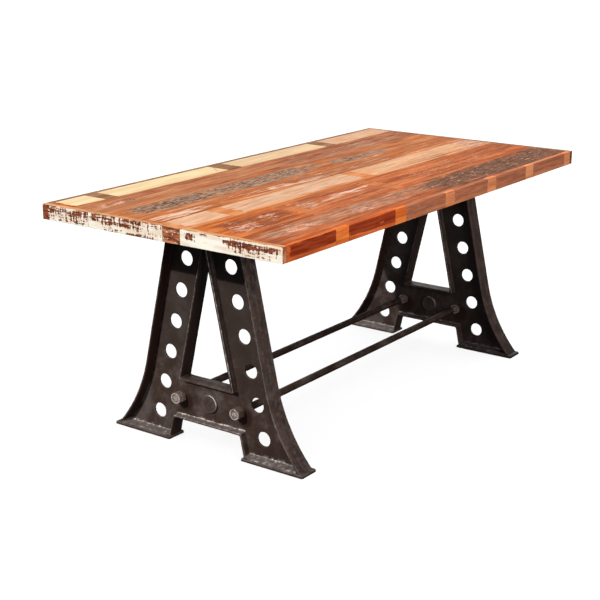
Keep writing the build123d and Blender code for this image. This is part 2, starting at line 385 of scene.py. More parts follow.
def make_board(name, seed, coats, along=0, arris=0.0009, face=None):
    """Builds one board over its own part of the pack, and lays its coats on its points. A board
    of the field has its coats on top. An edge board has a face, which is an axis and a side:
    its crown lies on top, and every other coat lies on that face alone, not on its ends."""
    low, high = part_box(name)
    grid = board_surface(low, high, along, arris, seed)
    rows, columns = grid.shape[:2]
    points = grid.reshape(-1, 3)
    on_top = points[:, 2] > high[2] - arris * 2
    points[on_top, 2] -= 0.00012 * (1 + waves(seed, 0.05, 0.3, points[on_top, 0], points[on_top, 1]))
    faces = grid_faces(rows, columns, wrap=True).tolist()
    faces += [list(range(columns)), list(range((rows - 1) * columns, rows * columns))]
    grain = points[:, along]
    free = [abs(low[along] - packed_low[along]) < 0.003, abs(high[along] - packed_high[along]) < 0.003]
    ends = np.minimum(grain - low[along] + free[0], high[along] - grain + free[1])
    sides = np.minimum(points[:, 1 - along] - low[1 - along], high[1 - along] - points[:, 1 - along])
    seam = ends if face else np.minimum(ends, sides)
    layers = {"seam": np.clip(1 - seam / 0.002, 0, 1)}
    for coat, patches in coats.items():
        layers[coat] = coverage(grain, points[:, 2 if face else 1 - along], patches)
        if face and coat != "crown":
            axis, side = face
            depth = np.abs(points[:, axis] - (low, high)[side][axis])
            shown = np.clip(1.5 - depth / arris, 0, 1).reshape(rows, columns)
            shown[[0, -1]] = 0
            layers[coat] = layers[coat] * shown.ravel()
    return make_piece("dressed_" + name, points, faces, layers, [name])


print("points round a board 0.1 m wide:", board_surface((0, 0, 0), (0.5, 0.1, 0.02), 0, 0.001, 1).shape[1])

# %% [markdown]
# ## Bare wood
# The boards come from old boats and doors, and no two have the same colour. Four scales of
# pattern make wood: broad bands of early and late growth, broken streaks, fine fibres, and
# cloudy stains. All of them are noise stretched along the grain. Together they pick a colour
# from dark, middle and light, and the fibres also make the relief and the gloss uneven.

# %% Write the recipe of bare wood


def grained(recipe, along, seed, long, wide):
    """Places for a pattern that is long along the grain and fine across it, in waves a metre."""
    scale = [wide, wide, wide]
    scale[along] = long
    return recipe.place(tuple(scale), (seed * 1.7, seed * 2.3, seed * 0.9))


def bare_wood(recipe, tones, along, seed):
    """Adds the wood itself and returns its colour and its relief."""
    growth = recipe.noise(grained(recipe, along, seed, 1.1, 24.0), 1.0, 3.0, 0.6, 0.8)
    streaks = recipe.noise(grained(recipe, along, seed, 5.0, 80.0), 1.0, 4.0, 0.68, 0.3)
    fibres = recipe.noise(grained(recipe, along, seed, 14.0, 420.0), 1.0, 3.0, 0.7)
    cloud = recipe.noise(grained(recipe, along, seed + 5.0, 3.2, 13.0), 1.0, 3.0, 0.6)
    shade = recipe.step(growth, 0.3, 0.7, 0.08, 0.62)
    shade = recipe.maths("MULTIPLY_ADD", recipe.maths("SUBTRACT", streaks, 0.44), 2.6, shade)
    shade = recipe.maths("MULTIPLY_ADD", recipe.maths("SUBTRACT", fibres, 0.5), 0.9, shade)
    dark, middle, light = tones
    colour = recipe.ramp(shade, (0.0, dark), (0.5, middle), (1.0, light))
    stain = recipe.step(cloud, 0.50, 0.70, 0.0, 0.55)
    colour = recipe.mix(stain, colour, (0.80, 0.62, 0.52, 1.0), "MULTIPLY")
    glow = recipe.step(cloud, 0.46, 0.30, 0.0, 0.35)
    colour = recipe.mix(glow, colour, (1.0, 0.52, 0.26, 1.0), "SOFT_LIGHT")
    return colour, fibres


def coat(layer, tones, ragged, sharp, mottle=(14.0, 150.0)):
    """A coat that can lie on a board: the layer that says where, its two tones, the patterns of
    its ragged edge, how sharp that edge is, and how long and wide its mottling is. Each ragged
    pattern has its waves a metre along and across, and its strength."""
    return {"layer": layer, "tones": tones, "ragged": ragged, "sharp": sharp, "mottle": mottle}


def lay_coat(recipe, colour, relief, along, seed, laid):
    """Lays one coat over a colour. The amount on the board plus noise about its middle is cut at
    one half, so that a thin coat breaks up into flakes and a thick one into a few chips."""
    total = recipe.painted(laid["layer"])
    for long, wide, strength in laid["ragged"]:
        ragged = recipe.noise(grained(recipe, along, seed, long, wide), 1.0, 4.0, 0.62)
        total = recipe.maths("MULTIPLY_ADD", recipe.maths("SUBTRACT", ragged, 0.5), strength, total)
    total = recipe.maths("MULTIPLY_ADD", recipe.maths("SUBTRACT", total, 0.5), laid["sharp"], 0.5)
    mask = recipe.maths("MINIMUM", recipe.maths("MAXIMUM", total, 0.0), 1.0)
    mottle = recipe.noise(grained(recipe, along, seed + 3.0, *laid["mottle"]), 1.0, 3.0, 0.6)
    first, second = laid["tones"]
    tint = recipe.mix(recipe.step(mottle, 0.36, 0.64), first, second)
    return recipe.mix(mask, colour, tint), recipe.maths("MULTIPLY_ADD", mask, 0.5, relief)


def crack(recipe, colour, start, end):
    """Draws a thin dark crack between two points of the top, given along X and Y. It is where
    the distance to their line, with a little noise, is under half a millimetre."""
    start, end = np.array(start), np.array(end)
    length = np.linalg.norm(end - start)
    heading = (end - start) / length
    here = recipe.node("SeparateXYZ", {"Vector": recipe.place((1, 1, 1))}).outputs
    east, north = [recipe.maths("SUBTRACT", here[axis], start[axis]) for axis in (0, 1)]
    ahead = recipe.maths("MULTIPLY_ADD", east, heading[0], recipe.maths("MULTIPLY", north, heading[1]))
    aside = recipe.maths("MULTIPLY_ADD", east, -heading[1], recipe.maths("MULTIPLY", north, heading[0]))
    wander = recipe.maths("SUBTRACT", recipe.noise(recipe.place((1, 1, 1)), 55.0, 2.0), 0.5)
    aside = recipe.maths("ABSOLUTE", recipe.maths("MULTIPLY_ADD", wander, 0.006, aside))
    within = recipe.maths("MINIMUM", ahead, recipe.maths("SUBTRACT", length, ahead))
    mask = recipe.maths("MULTIPLY", recipe.step(aside, 0.0014, 0.0004),
                        recipe.step(within, 0.0, 0.012, 0.0, 0.8))
    return recipe.mix(mask, colour, tone(60, 34, 20))


def board_finish(name, tones, along=0, seed=0.0, coats=(), cracks=(), gloss=0.56, grime=0.4):
    """A board's whole finish: bare wood, each coat laid over it, grime in its seams, wax."""
    recipe = Recipe(name)
    colour, relief = bare_wood(recipe, tones, along, seed)
    fibres = relief
    for laid in coats:
        colour, relief = lay_coat(recipe, colour, relief, along, seed, laid)
    for start, end in cracks:
        colour = crack(recipe, colour, start, end)
    dirt = recipe.noise(recipe.place((1, 1, 1)), 30.0, 3.0, 0.6)
    dirt = recipe.maths("MULTIPLY", recipe.step(dirt, 0.35, 0.6, 0.3, 1.0), grime)
    colour = recipe.mix(recipe.maths("MULTIPLY", recipe.painted("seam"), dirt), colour, tone(64, 30, 16))
    roughness = recipe.step(fibres, 0.3, 0.7, gloss - 0.08, gloss + 0.1)
    return recipe.finish(colour, roughness, relief, 0.0004, Specular_IOR_Level=0.006)


print("a trial finish:", board_finish("trial", [tone(90, 40, 20)] * 3).name)
bpy.data.materials.remove(bpy.data.materials["trial"])

# %% [markdown]
# ## The colours of the boards
# Each wood has a dark, a middle and a light tone, and each coat has two tones. All of them are
# written as they look under the lamps. The top, the front and the left end catch different
# amounts of light, so each side's tones are divided by the light that a white card shows there.

# %% Mix the palette
top_card, front_card, far_card, end_card = 1.28, 1.0, 0.88, 1.45


def mixed(card, *tones):
    """Several tones, divided by what a white card shows."""
    return [tone(*written, 1 / card) for written in tones]


woods = {
    "amber": mixed(top_card, (196, 112, 62), (222, 144, 90), (238, 170, 116)),
    "red": mixed(top_card, (156, 76, 40), (192, 106, 60), (224, 140, 90)),
    "deep_amber": mixed(top_card, (184, 100, 55), (203, 121, 74), (218, 143, 98)),
    "orange_red": mixed(top_card, (170, 79, 34), (201, 105, 48), (228, 138, 78)),
    "rust": mixed(top_card, (156, 92, 62), (190, 122, 84), (220, 158, 114)),
    "ochre": mixed(top_card, (162, 88, 48), (194, 118, 70), (222, 152, 104)),
    "russet": mixed(top_card, (160, 86, 48), (194, 115, 67), (224, 152, 102)),
    "peach": mixed(top_card, (206, 142, 98), (226, 170, 126), (242, 194, 154)),
    "straw": mixed(top_card, (210, 160, 110), (232, 186, 138), (246, 208, 164)),
    "walnut": mixed(top_card, (132, 92, 66), (163, 120, 88), (190, 146, 112)),
    "dark_walnut": mixed(top_card, (118, 82, 57), (150, 110, 80), (178, 136, 104)),
    "front": mixed(front_card, (160, 70, 32), (190, 90, 44), (214, 118, 64)),
    "front_far": mixed(far_card, (140, 82, 56), (165, 102, 72), (184, 122, 90)),
    "block": mixed(front_card, (190, 86, 36), (212, 109, 50), (230, 136, 74)),
    "block_far": mixed(far_card, (178, 106, 70), (199, 125, 84), (213, 143, 101)),
    "end": mixed(end_card, (160, 92, 62), (194, 124, 88), (226, 164, 124)),
    "dark": mixed(far_card, (84, 52, 38), (112, 72, 52), (140, 94, 70)),
    "timber": mixed(front_card, (116, 72, 42), (154, 102, 62), (186, 132, 88)),
}
cream = coat("paint", mixed(top_card, (240, 206, 158), (252, 230, 184)),
             [(9, 60, 1.8), (60, 60, 0.6)], 9, (5, 70))
dull_cream = coat("paint", mixed(top_card, (224, 186, 146), (244, 212, 172)),
                  [(9, 60, 2.2)], 6, (7, 90))
pink = coat("paint", mixed(top_card, (222, 168, 130), (243, 200, 168)),
            [(8, 70, 1.8), (40, 90, 0.7)], 4, (9, 100))
dull_pink = coat("paint", mixed(top_card, (210, 160, 124), (234, 190, 158)),
                 [(8, 70, 1.8), (40, 90, 0.7)], 4, (9, 100))
remnant = coat("paint", mixed(top_card, (226, 174, 144), (253, 226, 206)),
               [(7, 70, 3.0), (30, 160, 0.9)], 2.4, (12, 130))
flecks = coat("flecks", mixed(top_card, (212, 150, 122), (240, 192, 168)),
              [(26, 90, 2.0), (80, 190, 1.4)], 5)
straws = coat("flecks", mixed(top_card, (180, 146, 122), (214, 180, 152)), [(34, 140, 2.4)], 5)
weather = coat("weather", mixed(top_card, (134, 104, 86), (188, 148, 124)),
               [(8, 60, 2.0), (30, 70, 1.2)], 1.7, (24, 110))
greige = coat("weather", mixed(top_card, (150, 108, 86), (204, 154, 126)),
              [(7, 90, 2.6)], 2.2, (16, 110))
umber = coat("umber", mixed(top_card, (96, 64, 49), (138, 96, 74)), [(7, 60, 2.4)], 2.6, (24, 120))
pits = coat("pits", mixed(top_card, (66, 50, 42), (104, 78, 62)), [(44, 130, 2.4)], 4)
stain = coat("stain", mixed(top_card, (132, 70, 46), (168, 96, 64)), [(6, 60, 2.4)], 1.8)
print("woods mixed:", sorted(woods))

# %% [markdown]
# ## The field of the top
# Seven rows of boards fill the top. Each row of the table below gives a board's bare wood, its
# coats and where they still lie, so that a finish can be changed without touching its maker.
# A coat is laid in patches, in metres along the grain and across it.

# %% Lay the boards of the field
field = [
    ("cream_board_1", "cream_painted_wood", "orange_red", 1, [cream],
     {"paint": [(-0.880, -0.70, 0.343, 0.45, 0.010, 1.0)]}),
    ("dark_block_1", "dark_brown_wood", "walnut", 2, [], {}),
    ("cream_board_2", "cream_painted_wood", "straw", 3, [cream],
     {"paint": [(-0.71, -0.10, 0.341, 0.45, 0.012, 0.97)]}),
    ("dark_block_2", "dark_brown_wood", "dark_walnut", 4, [], {}),
    ("cream_board_3", "cream_painted_wood", "straw", 5, [dull_cream],
     {"paint": [(-0.09, 0.46, 0.341, 0.45, 0.012, 0.88)]}),
    ("dark_block_3", "dark_brown_wood", "dark_walnut", 6, [], {}),
    ("cream_board_4", "cream_painted_wood", "peach", 7, [dull_pink],
     {"paint": [(0.49, 0.91, 0.341, 0.45, 0.02, 0.68)]}),
    ("rust_board", "red_brown_wood", "rust", 8, [stain, greige, pits, flecks],
     {"stain": [(-0.75, 0.9, 0.285, 0.328, 0.10, 0.46), (-0.50, 0.9, 0.205, 0.232, 0.05, 0.46),
                (0.00, 0.95, 0.21, 0.33, 0.3, 0.58), (0.80, 0.95, 0.20, 0.34, 0.1, 0.7)],
      "weather": [(-0.76, -0.67, 0.252, 0.292, 0.05, 0.62), (0.0, 0.92, 0.21, 0.30, 0.3, 0.45),
                  (0.50, 0.64, 0.228, 0.285, 0.05, 0.66)],
      "pits": [(-0.77, -0.69, 0.255, 0.29, 0.04, 0.34)],
      "flecks": [(-0.85, -0.75, 0.252, 0.292, 0.04, 0.50)]}),
    ("grey_board_left", "weathered_wood", "russet", 9, [weather, straws, pits],
     {"weather": [(-0.850, 0.04, 0.090, 0.192, 0.09, 0.84), (-0.54, -0.34, 0.10, 0.17, 0.10, 0.66)],
      "flecks": [(-0.84, 0.04, 0.10, 0.18, 0.05, 0.30)],
      "pits": [(-0.845, -0.50, 0.105, 0.180, 0.05, 0.44), (-0.50, 0.04, 0.11, 0.185, 0.06, 0.36)]}),
    ("grey_board_right", "weathered_wood", "ochre", 10, [stain, weather, pits],
     {"stain": [(0.03, 0.9, 0.15, 0.21, 0.1, 0.35)],
      "weather": [(0.03, 0.11, 0.12, 0.18, 0.06, 0.7), (0.16, 0.52, 0.092, 0.155, 0.10, 0.76)],
      "pits": [(0.04, 0.08, 0.13, 0.17, 0.03, 0.4), (0.20, 0.36, 0.10, 0.145, 0.08, 0.42)]}),
    ("ochre_board", "orange_wood", "ochre", 11, [greige, stain, remnant],
     {"paint": [(-0.89, -0.64, 0.004, 0.05, 0.04, 0.40), (-0.87, -0.73, 0.012, 0.042, 0.05, 0.74),
                (-0.53, -0.36, 0.004, 0.045, 0.06, 0.34), (-0.34, -0.21, 0.010, 0.044, 0.05, 0.78),
                (-0.19, -0.05, 0.002, 0.04, 0.05, 0.50)],
      "weather": [(-0.20, 0.40, -0.004, 0.05, 0.12, 0.50)],
      "stain": [(-0.91, -0.60, -0.010, 0.004, 0.03, 0.95), (-0.6, 0.9, -0.010, 0.002, 0.05, 0.4)]}),
    ("pale_board_1", "pale_washed_wood", "amber", 12, [pink],
     {"paint": [(-0.882, -0.68, -0.104, -0.012, 0.03, 0.86)]}),
    ("amber_block_1", "orange_wood", "amber", 13, [], {}),
    ("pale_board_2", "pale_washed_wood", "amber", 14, [dull_pink],
     {"paint": [(-0.64, 0.05, -0.106, -0.008, 0.05, 0.82)]}),
    ("amber_block_2", "orange_wood", "amber", 15, [], {}),
    ("pale_board_3", "pale_washed_wood", "peach", 16, [stain, dull_pink, greige, flecks],
     {"paint": [(0.09, 0.9, -0.10, -0.004, 0.2, 0.42)],
      "stain": [(0.3, 0.9, -0.13, -0.07, 0.2, 0.35)],
      "weather": [(0.76, 0.92, -0.12, 0.0, 0.06, 0.62)],
      "flecks": [(0.76, 0.9, -0.11, 0.0, 0.05, 0.52)]}),
    ("red_board_1", "red_brown_wood", "orange_red", 17, [stain, pits, flecks],
     {"stain": [(-0.865, -0.55, -0.275, -0.15, 0.06, 0.66), (-0.86, -0.5, -0.32, -0.285, 0.05, 0.7)],
      "pits": [(-0.86, -0.56, -0.26, -0.16, 0.05, 0.24)],
      "flecks": [(-0.84, -0.735, -0.27, -0.20, 0.05, 0.50), (-0.675, -0.60, -0.24, -0.175, 0.04, 0.46),
                 (-0.81, -0.74, -0.185, -0.15, 0.04, 0.40)]}),
    ("amber_block_3", "orange_wood", "deep_amber", 18, [], {}),
    ("red_board_2", "red_brown_wood", "red", 19, [stain, greige, remnant, flecks],
     {"stain": [(-0.49, -0.1, -0.165, -0.14, 0.05, 0.5), (-0.42, -0.1, -0.26, -0.225, 0.08, 0.45)],
      "weather": [(-0.49, -0.40, -0.235, -0.175, 0.04, 0.62)],
      "flecks": [(-0.49, -0.41, -0.235, -0.175, 0.04, 0.44)],
      "paint": [(-0.40, -0.08, -0.214, -0.176, 0.05, 0.46)]}),
    ("amber_block_4", "orange_wood", "deep_amber", 20, [], {}),
    ("red_board_3", "red_brown_wood", "red", 21, [stain, straws],
     {"stain": [(0.1, 0.55, -0.29, -0.20, 0.2, 0.4), (0.60, 0.95, -0.24, -0.13, 0.1, 0.5)],
      "flecks": [(0.05, 0.7, -0.28, -0.14, 0.2, 0.22)]}),
    ("front_board", "red_brown_wood", "red", 22, [greige, stain, umber, pits, flecks],
     {"weather": [(-0.88, 0.10, -0.392, -0.308, 0.10, 0.62)],
      "stain": [(-0.92, -0.85, -0.44, -0.29, 0.05, 0.45), (-0.84, 0.0, -0.44, -0.41, 0.1, 0.4)],
      "umber": [(0.00, 0.95, -0.432, -0.300, 0.25, 1.05)],
      "pits": [(-0.30, 0.9, -0.42, -0.305, 0.3, 0.22)],
      "flecks": [(-0.77, -0.63, -0.38, -0.33, 0.05, 0.48), (-0.46, -0.35, -0.395, -0.345, 0.05, 0.44),
                 (0.0, 0.9, -0.42, -0.30, 0.2, 0.20)]}),
]
board_cracks = {"cream_board_2": [((-0.197, 0.348), (-0.150, 0.412))],
                "grey_board_left": [((-0.893, 0.163), (-0.845, 0.166))]}
for name, slot, wood, seed, coats, patches in field:
    piece = make_board(name, seed, patches)
    cracks = board_cracks.get(name, ())
    piece.data.materials.append(board_finish(name + "_finish", woods[wood], 0, seed, coats, cracks))
print("boards in the field:", len(field))

# %% [markdown]
# ## The edges of the top
# Standing boards hide the ends of the field and make the top look thick. The left end still has
# its white paint over a dark primer, flaked in short rows where it was scraped along the grain.
# The long front edge has kept a dark skin inside an orange border, with paler blocks let in.

# %% Stand the edge boards
primer = coat("primer", mixed(end_card, (92, 46, 30), (148, 82, 54)), [(20, 90, 2.2)], 8, (30, 160))
white = coat("paint", mixed(end_card, (240, 222, 200), (254, 249, 236)),
             [(34, 190, 1.5), (170, 34, 1.6)], 11, (9, 60))
skin = coat("skin", mixed(front_card, (120, 42, 18), (152, 62, 34)),
            [(9, 60, 2.4), (40, 150, 1.0)], 3, (9, 120))
grey_skin = coat("skin", mixed(far_card, (137, 84, 62), (165, 102, 74)),
                 [(8, 60, 2.2), (40, 150, 1.0)], 2.6, (9, 120))
crown = coat("crown", mixed(top_card, (200, 130, 80), (234, 178, 132)), [(14, 90, 2.2)], 3)
dark_crown = coat("crown", mixed(top_card, (134, 96, 72), (176, 134, 104)), [(12, 90, 2.2)], 4)
whole_face = (-1.0, 1.0, 0.70, 0.77, 0.002, 1.0)
crown_patch = (-1.0, 1.0, 0.7588, 0.80, 0.002, 0.9)
left_face, front_face, right_face, back_face = (0, 0), (1, 0), (0, 1), (1, 1)
flaking = {
    "left_edge_board_1": [
        (-1, 1, 0.70, 0.7585, 0.003, 0.84), (0.260, 0.428, 0.734, 0.757, 0.02, 0.42),
        (0.268, 0.424, 0.714, 0.734, 0.03, 0.56), (0.260, 0.294, 0.742, 0.757, 0.02, 0.3),
        (0.427, 0.46, 0.70, 0.757, 0.01, 0.16)],
    "left_edge_board_2": [
        (-1, 1, 0.70, 0.7585, 0.003, 0.82), (0.020, 0.253, 0.745, 0.757, 0.02, 0.38),
        (0.040, 0.216, 0.732, 0.744, 0.02, 0.38), (-0.010, 0.060, 0.722, 0.74, 0.02, 0.62),
        (0.221, 0.254, 0.734, 0.754, 0.02, 0.28), (-0.04, 0.04, 0.745, 0.757, 0.02, 0.50),
        (0.137, 0.203, 0.713, 0.722, 0.02, 0.50), (-0.005, 0.113, 0.708, 0.7175, 0.02, 0.10)],
    "left_edge_board_3": [
        (-1, 1, 0.70, 0.7585, 0.003, 0.97), (-0.156, -0.109, 0.728, 0.752, 0.015, 0.40),
        (-0.193, -0.161, 0.750, 0.757, 0.01, 0.3), (-0.442, -0.245, 0.733, 0.753, 0.02, 0.27),
        (-0.437, -0.275, 0.714, 0.733, 0.02, 0.56)],
}
edges = [(name, "white_flaked_paint", "end", 31 + number, 1, left_face, [primer, white, crown],
          {"primer": [whole_face], "paint": patches, "crown": [crown_patch]})
         for number, (name, patches) in enumerate(flaking.items())]
edges.append(("left_edge_block", "dark_brown_wood", "end", 35, 1, left_face, [primer, white, crown],
              {"primer": [(-1, 1, 0.70, 0.80, 0.01, 0.46)], "paint": [(-1, 1, 0.715, 0.75, 0.01, 0.26)],
               "crown": [crown_patch]}))
hidden = [(f"right_edge_board_{number}", "edge_brown_wood", "dark", 40 + number, 1, right_face)
          for number in (1, 2)]
hidden.append(("right_edge_block", "orange_wood", "block_far", 43, 1, right_face))
hidden += [(f"back_edge_board_{number}", "edge_brown_wood", "dark", 50 + number, 0, back_face)
           for number in (1, 2, 3)]
edges += [(*board, [dark_crown], {"crown": [crown_patch]}) for board in hidden]
for number in range(1, 7):
    name, block = f"front_edge_board_{number}", f"front_edge_block_{number}"
    far = number > 2
    start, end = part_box(name)[0][0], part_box(name)[1][0]
    margin = 0.018 if number == 1 else 0.0
    patch = (start + margin, end + 0.01, 0.7255, 0.7575, 0.018, 0.75 if far else 1.0)
    edges.append((name, "edge_brown_wood", "front_far" if far else "front", 60 + number, 0, front_face,
                  [grey_skin if far else skin], {"skin": [patch]}))
    edges.append((block, "orange_wood", "block_far" if far else "block", 70 + number, 0, front_face,
                  [], {}))
for name, slot, wood, seed, along, face, coats, patches in edges:
    piece = make_board(name, seed, patches, along, 0.0014, face)
    piece.data.materials.append(board_finish(name + "_finish", woods[wood], along, seed, coats))
print("boards round the edge:", len(edges))

# %% [markdown]
# ## The timbers underneath
# Two bearers carry the iron frames and three battens tie the field together. They are sawn and
# left plain, and their shape in the pack is already right, so they only get a finish.

# %% Finish the timbers
for name in ("left_bearer", "right_bearer", "cross_batten_1", "cross_batten_2", "cross_batten_3"):
    sawn = board_finish(name + "_finish", woods["timber"], 1, len(name), gloss=0.75)
    nodes[name].data.materials.clear()
    nodes[name].data.materials.append(sawn)
print("timbers finished")

# %% [markdown]
# ## The outline of a casting
# An A-frame is one iron casting: an I-section bent into an A. Its shape is a handful of flat
# outlines at different depths, with walls between them, just as the wooden pattern was made.
# One function draws the outer side, the pocket or the window for any offset into the iron, with
# the same number of points each time, so that neighbouring outlines can be joined by a wall. The
# flange round the outside is 63 mm wide, and the one round the window and the feet 50 mm.

# %% Draw the outlines of the A-frame
underside = 0.712
cap_half = 0.1325
lean = math.radians(12.7)
apex = underside - 0.062
bar_low, bar_high = 0.074, 0.213
flare_start, flare_reach = 0.25, 0.0785
rim, inner_rim, web = 0.0315, 0.025, 0.0035

foot_edge = cap_half + math.tan(lean) * underside + flare_reach
side_at_flare = cap_half + math.tan(lean) * (underside - flare_start)
chord = math.hypot(foot_edge - side_at_flare, flare_start)
half_turn = math.atan2(foot_edge - side_at_flare, flare_start) - lean
flare_radius = chord / (2 * math.sin(half_turn))
flare_y = side_at_flare + flare_radius * math.cos(lean)
flare_z = flare_start + flare_radius * math.sin(lean)


def outer_side(height, offset):
    """The leg's outer side at a height, moved into the iron."""
    return cap_half + math.tan(lean) * (underside - height) - offset / math.cos(lean)


def inner_side(height, offset):
    """The leg's inner side at a height, moved into the iron."""
    return math.tan(lean) * (apex - height) + offset / math.cos(lean)


def flare(offset, height):
    """Points down the flare of the foot, to a height: an arc whose radius grows by the offset."""
    radius = flare_radius + offset
    angles = np.linspace(lean, math.asin((flare_z - height) / radius), 13)
    return [(flare_y - radius * math.cos(t), flare_z - radius * math.sin(t)) for t in angles]


def half_outline(kind, offset, cap, sole):
    """Corner points of one half of an outline, from the middle outwards and down, with the
    radius of each corner. Cap and sole say how far it keeps from the cap and from the floor."""
    top, low, high = underside - cap, bar_low + offset, bar_high - offset
    if kind == "window":
        return [(inner_side(high, offset), high)], [0.004]
    foot = [(inner_side(sole, offset), sole), (inner_side(low, offset), low)]
    points = [(outer_side(top, offset), top), *flare(offset, sole), *foot]
    corners = (0.001, 0.002, 0.003, 0.007) if kind == "outer" else (0.006, 0.005, 0.005, 0.005)
    return points, [corners[0], *[0.0] * 12, *corners[1:]]


def outline(kind, offset, cap=0.0, sole=0.0):
    """A whole outline: one half and its mirror image, with every corner rounded. A corner's arc
    is swept from one tangent point to the other round their common centre."""
    points, radii = half_outline(kind, offset, cap, sole)
    points, radii = np.array(points), np.array(radii)
    if kind == "window":
        points = np.vstack([[0.0, apex + offset / math.sin(lean)], points, points[::-1] * (-1, 1)])
        radii = np.concatenate([[max(0.0015, offset - 0.0055)], radii, radii[::-1]])
    else:
        points = np.vstack([points, points[::-1] * (-1, 1)])
        radii = np.concatenate([radii, radii[::-1]])
    back = np.roll(points, 1, axis=0) - points
    ahead = np.roll(points, -1, axis=0) - points
    back /= np.linalg.norm(back, axis=1, keepdims=True)
    ahead /= np.linalg.norm(ahead, axis=1, keepdims=True)
    turn = math.pi - np.arccos(np.clip((back * ahead).sum(axis=1), -1, 1))
    tangent = radii * np.tan(turn / 2)
    bisector = back + ahead
    bisector /= np.maximum(np.linalg.norm(bisector, axis=1, keepdims=True), 1e-9)
    centre = points + bisector * (radii / np.cos(turn / 2))[:, None]
    first = points + back * tangent[:, None] - centre
    last = points + ahead * tangent[:, None] - centre
    share = np.linspace(0, 1, 6)
    sweep = np.maximum(turn, 1e-6)[:, None]
    arcs = (np.sin(sweep * (1 - share))[..., None] * first[:, None]
            + np.sin(sweep * share)[..., None] * last[:, None]) / np.sin(sweep)[..., None]
    arcs = centre[:, None] + np.where(radii[:, None, None] > 0, arcs, 0)
    keep = (radii[:, None] > 0) | (share[None] == 0)
    return arcs[keep]


def subdivided(loop, counts):
    """The same loop with each of its stretches cut into a number of equal parts."""
    stretch = np.repeat(np.arange(len(loop)), counts)
    share = (np.arange(len(stretch)) - (np.cumsum(counts) - counts)[stretch]) / counts[stretch]
    return loop[stretch] + (np.roll(loop, -1, axis=0) - loop)[stretch] * share[:, None]


def parts_for(loop, pitch):
    """How many parts of about a pitch each stretch of a loop needs."""
    lengths = np.linalg.norm(np.roll(loop, -1, axis=0) - loop, axis=1)
    return np.maximum(1, np.round(lengths / pitch)).astype(int)


def rim_of(loop, offset):
    """How far each point of an outline is from the parting line at its rim: less where the
    outline follows the inner side of a foot or the underside of the crossbar."""
    within = np.abs(loop[:, 0]) < inner_side(loop[:, 1], offset) + 0.0035
    return np.where(within & (loop[:, 1] < 0.15), inner_rim, rim)


print("flare radius in metres:", round(flare_radius, 4))
print("points in the outer outline:", len(outline("outer", 0.0)))

# %% [markdown]
# ## Walls, flats and holes
# A wall joins outlines at different depths. Its depths and offsets trace the casting's section:
# draft so that the pattern leaves the sand, rounded rims, and a fillet down to the web. A flat
# fills the space between an outline and the holes in it. Triangles that keep to given edges do
# that best, so the flats use a constrained triangulation, with extra points that let the web
# undulate as sand-cast iron does.

# %% Write walls and flats
flange_draft = math.tan(math.radians(1.5))
pocket_draft = math.tan(math.radians(5.0))
rounding = np.radians([0, 30, 60, 90])


def wall(loops, depths, worn, shelf=None, painted_shade=0.0, hollow=True):
    """Points and quads of a wall through outlines of equal length, each with a depth or with one
    for every point. Where the wall faces up like a shelf, the marks of a shelf are added to its
    marks of wear. Where it faces level or down, painted shade is taken off them. A hollow wall
    looks into its outline."""
    rows = [np.column_stack([np.full(len(loop), depth), loop]) for loop, depth in zip(loops, depths)]
    ahead = np.roll(loops[0], -1, axis=0) - np.roll(loops[0], 1, axis=0)
    y, z = loops[0].T
    area = (y * np.roll(z, -1) - np.roll(y, -1) * z).sum()
    up = np.sign(area) * ahead[:, 0] / np.maximum(np.linalg.norm(ahead, axis=1), 1e-9)
    up = up if hollow else -up
    shelf = np.zeros(len(worn)) if shelf is None else shelf
    # painted shade on faces turned level or down
    low = painted_shade * np.clip((0.15 - up) / 0.2, 0, 1)
    marks = [mark + extra * np.clip(up * 2 - 1, 0, 1) - low for mark, extra in zip(worn, shelf)]
    return np.vstack(rows), grid_faces(len(rows), len(loops[0]), wrap=True), np.concatenate(marks)


def inside(points, loop):
    """Whether each point is inside a loop: it is where a ray along Y crosses it an odd number
    of times."""
    start, end = loop, np.roll(loop, -1, axis=0)
    y, z = points[:, :1], points[:, 1:]
    straddles = (start[:, 1] > z) != (end[:, 1] > z)
    rise = np.where(end[:, 1] == start[:, 1], 1.0, end[:, 1] - start[:, 1])
    crossing = start[:, 0] + (z - start[:, 1]) / rise * (end[:, 0] - start[:, 0])
    return (straddles & (y < crossing)).sum(axis=1) % 2 == 1


def clearance(points, loop):
    """Distance from each point to the nearest stretch of a loop."""
    start, along = loop, np.roll(loop, -1, axis=0) - loop
    size = np.maximum((along ** 2).sum(axis=1), 1e-18)
    share = np.clip(((points[:, None] - start) * along).sum(axis=2) / size, 0, 1)
    return np.linalg.norm(points[:, None] - (start + share[..., None] * along), axis=2).min(axis=1)


def flat(depth, loops, extra, mark):
    """Points and triangles of a flat between loops, the first one outside and the rest holes."""
    vertices = np.vstack([*loops, extra])
    edges, start = [], 0
    for loop in loops:
        number = np.arange(len(loop))
        edges += np.column_stack([start + number, start + (number + 1) % len(loop)]).tolist()
        start += len(loop)
    made = mathutils.geometry.delaunay_2d_cdt([mathutils.Vector(v) for v in vertices], edges, [], 0, 1e-7)
    triangles = np.array(made[2])
    corners = np.array([v[:] for v in made[0]])
    source = np.array([origin[0] for origin in made[3]])
    middle = corners[triangles].mean(axis=1)
    keep = inside(middle, loops[0])
    for loop in loops[1:]:
        keep &= ~inside(middle, loop)
    points = np.column_stack([np.full(len(vertices), depth), vertices])
    return points, source[triangles[keep]], np.full(len(vertices), mark)


def circle(y, z, radius, count=44):
    """Points round a circle."""
    angle = np.arange(count) * 2 * math.pi / count
    return np.column_stack([y + radius * np.cos(angle), z + radius * np.sin(angle)])


square = np.array([(-0.01, -0.01), (0.01, -0.01), (0.01, 0.01), (-0.01, 0.01)])
print("middle and outside point:", inside(np.array([(0.0, 0.0), (0.02, 0.0)]), square))
